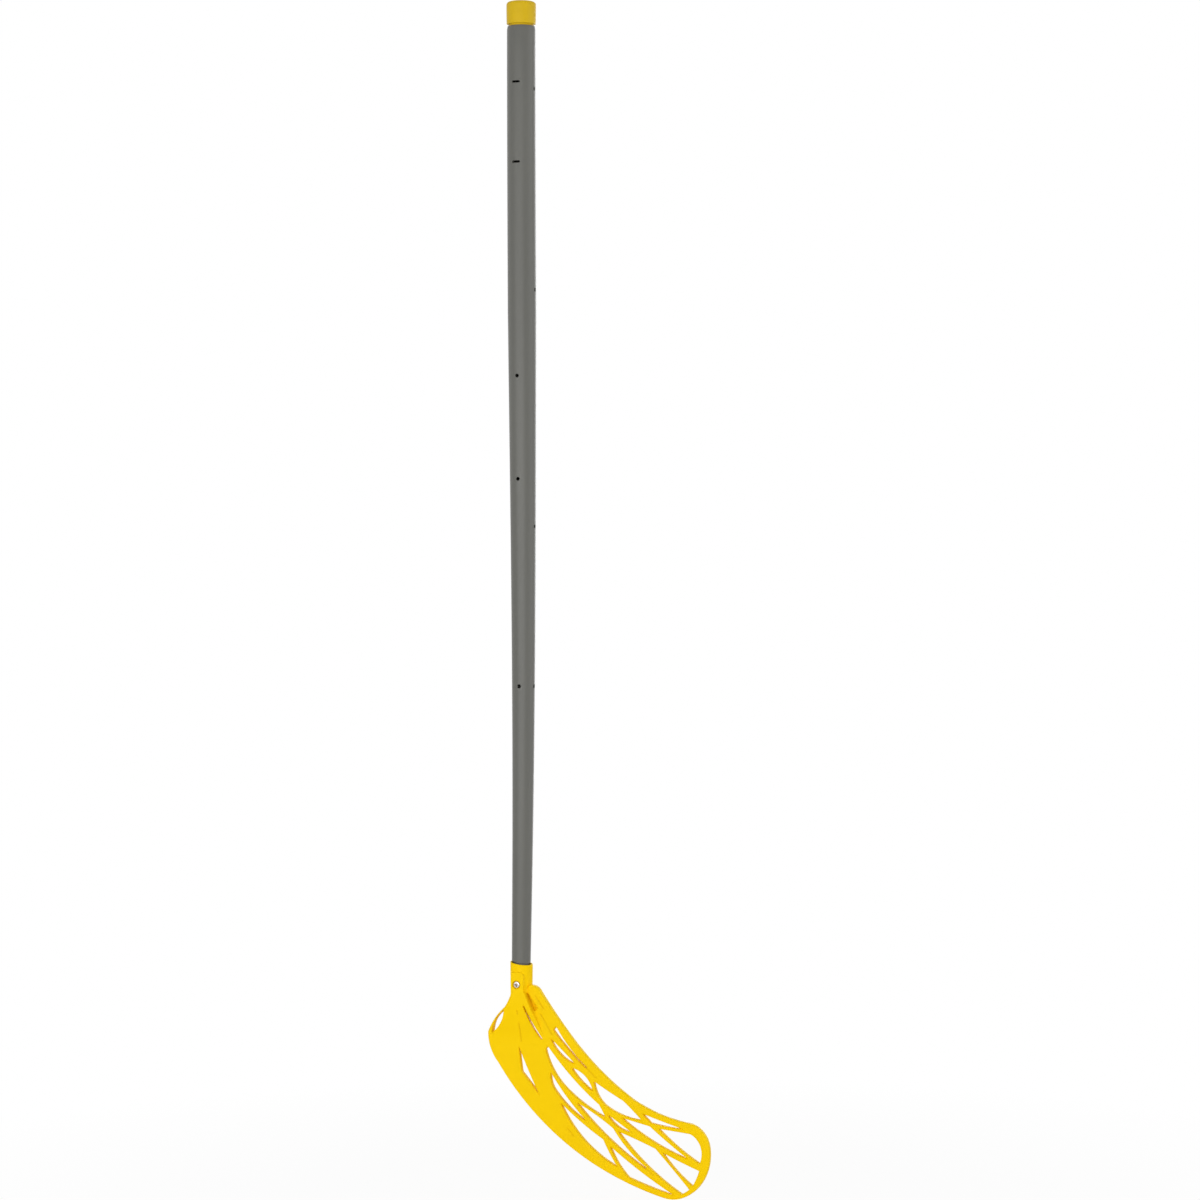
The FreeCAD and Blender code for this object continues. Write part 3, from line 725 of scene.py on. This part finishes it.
def groove_share(x, behind, height, reach=4.0):
    """How far down in a groove of the front face a place is: 1 on the groove's line, and less to its sides
    as a bell."""
    lines = [np.array(groove, float) for groove in GROOVES]
    away = np.min([drawn_distance(line, x, -height, reach, closed=False) for line in lines], axis=0)
    return np.exp(-(away / GROOVE_WIDTH) ** 2) * (behind < 0)


def opening_distance(settings, x, behind, down):
    """Distance to the nearest opening of the blade, negative inside one. The one beside the tongue shifts
    across by its slant times the distance behind a pivot, eased in over a part of its length."""
    pivot, slant_start, slant_full = 7.0, 42.0, 54.0
    plain = [drawn_distance(loop_points(loop), x, down, OPENING_REACH) for loop in OPENINGS]
    lean = settings.slant * ease(down, slant_start, slant_full)
    shifted = x + lean * (behind + pivot)
    slanted = drawn_distance(loop_points(SLANTED_OPENING), shifted, down, OPENING_REACH)
    return np.minimum(np.min(plain, axis=0), slanted)


def blade_lattice(settings, x, behind, down, opening, reach=40.0):
    """The flat blade: its outline less its openings, as thick as its rim and with rounded edges. Humps
    thicken the shoulder's front and the strap's back."""
    shoulder_rise, shoulder_across, shoulder_down = 1.2, (8.0, 12.0, 24.0, 42.0), (30.0, 62.0)
    strap_rise, strap_across, strap_down = 2.0, (11.0, 20.0), (50.0, 62.0, 66.0, 84.0)
    half = settings.half_thickness / MM
    outline = drawn_distance(loop_points(BLADE_EDGE), x, down, reach)
    front = half + shoulder_rise * hump(x, *shoulder_across) * (1 - ease(down, *shoulder_down))
    back = half + strap_rise * ease(-x, *strap_across) * hump(down, *strap_down)
    faces = np.maximum(-behind - front, behind - back)
    return rounded_both(np.maximum(outline, -opening), faces, settings.edge_round / MM)


def blade_socket(settings, x, y, down, opening):
    """The socket: a round sleeve, flared at its sloped rim and drawn in to a tail down the blade, with the
    blade's openings left free."""
    shift, flare, rim_round, opening_round = 0.4, 0.4, 0.5, 1.0
    sleeve_end, tail_end, tail_radius = 41.0, 75.0, 2.0
    radius = settings.socket_radius / MM
    radii = [radius + flare, radius, tail_radius]
    sleeve = np.hypot(x - shift, y) - np.interp(down, [0, sleeve_end, tail_end], radii)
    under_rim = rounded_both(sleeve, rim_slope(x, y) - (RIM - TAPER_END) - down, rim_round)
    return rounded_both(np.maximum(under_rim, down - tail_end), -opening, opening_round)


def rear_boss(y, from_screw):
    """The boss round the rear screw: a cylinder with a rounded edge, from the shaft's axis to its face."""
    radius, edge_round = 6.0, 0.8
    return np.maximum(rounded_both(from_screw - radius, y - SEAT_FACE, edge_round), -y)


def front_tongue(settings, x, behind, down, opening, reach=20.0):
    """The raised tongue: its outline less the openings, under a face that is level at the screw's seat and
    then eases down to the blade's front."""
    fall_start, fall_end, depth, edge_round = 33.0, 74.0, 2.0, 0.7
    rise = SEAT_FACE - SETBACK
    fall = (rise - settings.half_thickness / MM) * ease(down, fall_start, fall_end)
    plan = np.maximum(drawn_distance(loop_points(TONGUE_EDGE), x, down, reach), -opening)
    return np.maximum(rounded_both(plan, fall - rise - behind, edge_round), behind - depth)


def blade_hollows(scene, x, y, down, from_screw):
    """What the blade leaves free: a mouth for the tube's lip, a bore for its spigot, a seat for a screw's
    head on each side, and a hole for the shanks, each wider than what goes in by a gap."""
    lip_gap, spigot_gap, end_gap, screw_gap = 0.2, 0.1, 0.3, 0.15
    shaft = scene.stick_shaft
    radial = np.hypot(x, y)
    mouth = np.maximum(radial - shaft.neck_radius / MM - lip_gap, down - shaft.lip_depth / MM - lip_gap)
    bore = np.maximum(radial - shaft.spigot_radius / MM - spigot_gap, down - SPIGOT_LENGTH - end_gap)
    seats = np.maximum(from_screw - scene.stick_blade.screw_seat / MM, SEAT_FLOOR - np.abs(y))
    hole = from_screw - scene.stick_screws.shank_radius / MM - screw_gap
    return np.minimum(np.minimum(np.minimum(mouth, bore), seats), hole)


def blade_distance(scene, x, behind, height):
    """The blade as one field, negative inside: lattice, socket, rear boss and tongue joined by fillets,
    less the recess beside the tongue, the grooves and the hollows. A place is given by the distance across,
    behind the middle surface, and above the taper's end."""
    socket_fillet, boss_fillet, tongue_fillet = 0.6, 1.2, 0.5
    recess_floor, recess_round, hollow_round = 0.5, 0.4, 0.25
    settings = scene.stick_blade
    down = -height
    y = behind + mid_surface(x, settings.hook_radius / MM)
    from_screw = np.hypot(x, down - (TAPER_END - SCREW_HEIGHT))
    opening = opening_distance(settings, x, behind, down)
    lattice = blade_lattice(settings, x, behind, down, opening)
    solid = blended(lattice, blade_socket(settings, x, y, down, opening), socket_fillet)
    solid = blended(solid, rear_boss(y, from_screw), boss_fillet)
    recess = drawn_distance(loop_points(SHOULDER_RECESS), x, down, OPENING_REACH)
    solid = rounded_both(solid, -np.maximum(recess, behind - recess_floor), recess_round)
    solid = blended(solid, front_tongue(settings, x, behind, down, opening), tongue_fillet)
    solid = solid + GROOVE_DEPTH * groove_share(x, behind, height)
    return rounded_both(solid, -blade_hollows(scene, x, y, down, from_screw), hollow_round)


def blade_skin(scene):
    """Closed skin of the blade: the field's net on a grid that is finer at the socket, settled onto the
    field."""
    across = grid_line([(-34.13, 1.0), (-12.5, 0.62), (-5.4, 0.48), (5.4, 0.62), (27.0, 1.0), (202.0, 1.0)])
    behind = grid_line([(-10.87, 0.7), (17.0, 0.7)])
    above = -grid_line([(-5.03, 0.5), (12.0, 0.48), (25.0, 0.65), (52.0, 1.0), (213.5, 1.0)])[::-1]
    field = blade_distance(scene, across[:, None, None], behind[None, :, None], above[None, None, :])
    points, quads = surface_net((across, behind, above), field)
    return settled(points, quads, lambda *place: blade_distance(scene, *place)), quads


def screw_top(settings, angle):
    """Rings over a screw's head: a shallow dome less the cross recess, which is two crossed bars with eased
    walls. The second result is how far down in the recess each point is, from 0 to 1."""
    first_ring, wall_start, wall_end = 0.02, -0.12, 0.16
    share = np.linspace(first_ring, 1, 40)[:, None]
    radius = share * (SCREW_RADIUS - HEAD_ROUND)
    x, y = np.abs(radius * np.cos(angle)), np.abs(radius * np.sin(angle))
    span, width = settings.cross_span / MM / 2, settings.cross_width / MM / 2
    cross = np.minimum(np.maximum(x - width, y - span), np.maximum(y - width, x - span))
    sunk = ease(-cross, wall_start, wall_end)
    return ring_points(radius, -HEAD_DOME * share ** 2 - settings.cross_depth / MM * sunk, angle), sunk


def screw_side(settings, angle):
    """Rings down the side of a screw's head: a rounded upper edge, a straight wall and a rounded hem."""
    hem = 0.2
    turn = np.radians(np.linspace(75, -90, 12))[:, None]
    radius = SCREW_RADIUS - HEAD_ROUND + HEAD_ROUND * np.cos(turn)
    upper = -HEAD_DOME - HEAD_ROUND + HEAD_ROUND * np.sin(turn)
    lower = -settings.head_height / MM + hem + hem * np.sin(turn)
    return ring_points(radius, np.where(turn > 0, upper, lower), angle)


def screw_shank(settings, angle):
    """Rings along a screw's shank: the radius eases from the thread's crest to its root and back with the
    winding, and draws in to the tip."""
    thread_depth, crest_end, root_start = 0.5, 0.15, 0.85
    tip_share, tip_length = 0.25, 1.8
    down = np.linspace(settings.head_height / MM, SCREW_LENGTH, 90)[:, None]
    winding = np.abs((down / (settings.pitch / MM) - angle / (2 * np.pi)) % 1 - 0.5) * 2
    thread = settings.shank_radius / MM - thread_depth * ease(winding, crest_end, root_start)
    tip = tip_share + (1 - tip_share) * ease(SCREW_LENGTH - down, 0.0, tip_length)
    return ring_points(thread * tip, -down, angle)


def screw_skin(settings, segments=96):
    """Closed skin of a screw along its own axis, head up, and how far down in the recess each point is."""
    angle = full_turn(segments)
    top, sunk = screw_top(settings, angle)
    rings = np.concatenate([top, screw_side(settings, angle), screw_shank(settings, angle)])
    poles = (0, 0, -settings.cross_depth / MM), (0, 0, -SCREW_LENGTH)
    points, quads, fans = capped_rings(rings, *poles)
    rest = np.zeros(len(points) - sunk.size - len(poles))
    return points, quads, fans, np.concatenate([sunk.ravel(), rest, [1.0, 0.0]])


def level_camera(scene, settings):
    """Level camera, turned about the shaft from the blade's front and moved back, aside and down."""
    turn = settings.camera_turn
    right = np.array([math.cos(turn), math.sin(turn), 0])
    ahead = np.array([-math.sin(turn), math.cos(turn), 0])
    drop = np.array([0, 0, settings.camera_drop])
    data = bpy.data.cameras.new("camera")
    data.sensor_width, data.lens = 36.0, 108.0
    data.clip_end = 200.0
    camera = bpy.data.objects.new("camera", data)
    camera.location = -settings.camera_distance * ahead + settings.camera_side * right - drop
    camera.rotation_euler = (math.pi / 2, 0, turn)
    scene.collection.objects.link(camera)
    scene.camera = camera


def floor_paint():
    """Pale paint that is mixed towards plain white for what looks straight at it, more so further from the
    stick by a ball-shaped fade, and that is clear from below."""
    darker, lighter = (0.9, 0.9, 0.9), (0.93, 0.93, 0.93)
    far_white, near_white = 1.0, 0.93
    material, tree, shader, coordinates = nodes_of("pale_floor_paint")
    paint = ramp(tree, noise(tree, coordinates, 3.0), darker, lighter)
    fill(tree, shader, {"Base Color": paint, "Roughness": 0.9, "Specular IOR Level": 0.0})
    centred = mapped(tree, coordinates, scale=(0.8, 0.8, 0.8), location=(-0.1, 0.0, -FLOOR * MM))
    fade = added(tree, "ShaderNodeTexGradient", "Fac", {"Vector": centred}, gradient_type="SPHERICAL")
    white_share = spread(tree, fade, far_white, near_white)
    seen = joined_values(tree, "MULTIPLY", white_share, seen_directly(tree))
    white = added(tree, "ShaderNodeEmission", "Emission", {"Strength": 1.0})
    above = mixed_shaders(tree, seen, shader.outputs["BSDF"], white)
    below = added(tree, "ShaderNodeNewGeometry", "Backfacing", {})
    clear = added(tree, "ShaderNodeBsdfTransparent", "BSDF", {})
    fill(tree, tree.nodes["Material Output"], {"Surface": mixed_shaders(tree, below, above, clear)})
    return material


def pale_floor(scene, segments=128, radius=40000.0, gap=0.2):
    """A wide round floor just under the blade's lowest edge."""
    ring = ring_points(radius, FLOOR - gap, full_turn(segments))
    points = np.concatenate([ring, [[0, 0, FLOOR - gap]]])
    no_quads = np.zeros((0, 4), int)
    mesh = mesh_of("pale_floor", points, no_quads, fan(segments, np.arange(segments)))
    mesh.materials.append(floor_paint())
    floor = bpy.data.objects.new("pale_floor", mesh)
    scene.collection.objects.link(floor)
    return floor


def soft_light(scene, name, place, aim, size, power):
    """A soft light of a width and height that faces a point and is not seen itself."""
    data = bpy.data.lights.new(name, "AREA")
    data.shape, data.energy = "RECTANGLE", power
    data.size, data.size_y = size
    lamp = bpy.data.objects.new(name, data)
    lamp.visible_camera = False
    lamp.location = place
    x, y, z = np.array(aim, float) - np.array(place, float)
    lamp.rotation_euler = (math.pi / 2 + math.atan2(z, math.hypot(x, y)), 0, math.atan2(-x, y))
    scene.collection.objects.link(lamp)
    return lamp


def white_surround(scene, strength):
    """White all round for what looks straight at it, and an even plain light on the stick."""
    world = bpy.data.worlds.new("white_surround")
    world.use_nodes = True
    tree = world.node_tree
    tree.nodes.clear()
    white = (1, 1, 1, 1)
    light = added(tree, "ShaderNodeBackground", "Background", {"Color": white, "Strength": strength})
    backdrop = added(tree, "ShaderNodeBackground", "Background", {"Color": white, "Strength": 1.0})
    shown = mixed_shaders(tree, seen_directly(tree), light, backdrop)
    fill(tree, tree.nodes.new("ShaderNodeOutputWorld"), {"Surface": shown})
    scene.world = world


class STICK_OT_build_shaft(bpy.types.Operator):
    """Build the grey tube with its openings, butt chamfer and spigot"""
    bl_idname = "stick.build_shaft"
    bl_label = "Build shaft"

    def execute(self, context):
        settings = context.scene.stick_shaft
        points, quads, fans = turned(shaft_profile(settings), segments=96)
        tilt_rim_groove(points)
        mesh = mesh_of("grey_shaft", points, quads, fans)
        material = moulded_plastic(
            "grey_moulded_plastic", settings.tone, contrast=0.035, mottle=60.0, roughness=(0.3, 0.38),
            gloss=0.3, relief=(0.06, 0.04), stretch=(1.0, 1.0, 0.12),
        )
        piece = place_piece(mesh, "stick", "shaft", material)
        cut_openings(piece)
        bend_tube(piece.data, settings.bow)
        smooth(piece.data, degrees=32)
        return {"FINISHED"}


class STICK_OT_build_cap(bpy.types.Operator):
    """Build the ochre cap with its hollow plug"""
    bl_idname = "stick.build_cap"
    bl_label = "Build end cap"

    def execute(self, context):
        settings = context.scene.stick_cap
        profile = cap_profile(settings, context.scene.stick_shaft.wall / MM)
        mesh = mesh_of("ochre_cap", *turned(profile, segments=128))
        smooth(mesh, degrees=35)
        material = moulded_plastic(
            "ochre_moulded_plastic", settings.tone, contrast=0.03, mottle=90.0, roughness=(0.4, 0.5),
            gloss=0.15, relief=(0.08, 0.04),
        )
        place_piece(mesh, "end_cap", "end_cap", material)
        return {"FINISHED"}


class STICK_OT_build_blade(bpy.types.Operator):
    """Build the hooked lattice blade with its socket, tongue and screw seats"""
    bl_idname = "stick.build_blade"
    bl_label = "Build blade"

    def execute(self, context):
        settings = context.scene.stick_blade
        points, quads = blade_skin(context.scene)
        # How far down in a groove each point is, kept on the mesh as the mask for the painted shade in the
        # grooves.
        groove = groove_share(*points.T)
        points[:, 1] += mid_surface(points[:, 0], settings.hook_radius / MM)
        points[:, 2] += TAPER_END
        mesh = mesh_of("yellow_blade", points, quads)
        mark(mesh, "groove", groove)
        smooth(mesh, degrees=55)
        material = moulded_plastic(
            "yellow_moulded_plastic", settings.tone, contrast=0.02, mottle=45.0, roughness=(0.34, 0.44),
            gloss=0.03, relief=(0.06, 0.04),
        )
        # Painted shade in the grooves of the front face.
        paint_groove_shade(material, settings.groove_shade_tone)
        place_piece(mesh, "stick", "blade", material)
        return {"FINISHED"}


class STICK_OT_build_screws(bpy.types.Operator):
    """Build the two cross-head screws that hold the blade"""
    bl_idname = "stick.build_screws"
    bl_label = "Build screws"

    def execute(self, context):
        settings = context.scene.stick_screws
        points, quads, fans, recess = screw_skin(settings)
        x, y, z = points.T
        material = plated_steel("plated_steel", settings.tone, settings.recess_shade_tone)
        for node, side in (("front_screw", -1), ("rear_screw", 1)):
            placed = np.stack([x, side * (SCREW_FACE + z), SCREW_HEIGHT - side * y], 1)
            mesh = mesh_of(f"{node}_steel", placed, quads, fans)
            # The recess share masks the painted shade in the cross recess.
            mark(mesh, "recess", recess)
            smooth(mesh, degrees=40)
            place_piece(mesh, node, node, material)
        return {"FINISHED"}


class STICK_OT_build_stage(bpy.types.Operator):
    """Set the pale floor, the soft lights, the white surround and the camera"""
    bl_idname = "stick.build_stage"
    bl_label = "Build stage"

    def execute(self, context):
        scene = context.scene
        settings = scene.stick_stage
        level_camera(scene, settings)
        stage = [pale_floor(scene)]
        aim = (0.05, 0, -0.45)
        for name, place, size, power in (
            ("front_light", (0.1, -2.6, -0.9), (3.6, 2.4), settings.front_level),
            ("side_light", (2.9, 0.6, 0.2), (2.5, 2.5), settings.side_level),
            ("rear_light", (0.1, 3.0, -0.4), (2.4, 2.4), settings.rear_level),
        ):
            stage.append(soft_light(scene, name, place, aim, size, power))
        white_surround(scene, settings.sky_level)
        scene.view_settings.view_transform = "Standard"
        return {"FINISHED"}


STEPS = {
    "stick_shaft": (StickShaftSettings, STICK_OT_build_shaft),
    "stick_cap": (StickCapSettings, STICK_OT_build_cap),
    "stick_blade": (StickBladeSettings, STICK_OT_build_blade),
    "stick_screws": (StickScrewSettings, STICK_OT_build_screws),
    "stick_stage": (StickStageSettings, STICK_OT_build_stage),
}


class STICK_PT_panel(bpy.types.Panel):
    """Settings and build steps of the stick"""
    bl_idname = "STICK_PT_panel"
    bl_label = "Floorball stick"
    bl_space_type = "VIEW_3D"
    bl_region_type = "UI"
    bl_category = "Stick"

    def draw(self, context):
        for name, (group, operator) in STEPS.items():
            box = self.layout.box()
            box.operator(operator.bl_idname)
            for setting in group.__annotations__:
                box.prop(getattr(context.scene, name), setting)


def register():
    """Registers each step's settings and operator, and the panel."""
    for name, (group, operator) in STEPS.items():
        bpy.utils.register_class(group)
        setattr(bpy.types.Scene, name, bpy.props.PointerProperty(type=group))
        bpy.utils.register_class(operator)
    bpy.utils.register_class(STICK_PT_panel)


def unregister():
    """Takes away what register added, in the opposite order."""
    bpy.utils.unregister_class(STICK_PT_panel)
    for name, (group, operator) in reversed(STEPS.items()):
        bpy.utils.unregister_class(operator)
        delattr(bpy.types.Scene, name)
        bpy.utils.unregister_class(group)


def main():
    """Builds every piece and the stage."""
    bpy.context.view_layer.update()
    register()
    bpy.ops.stick.build_shaft()
    bpy.ops.stick.build_cap()
    bpy.ops.stick.build_blade()
    bpy.ops.stick.build_screws()
    bpy.ops.stick.build_stage()


if __name__ == "__main__":
    main()
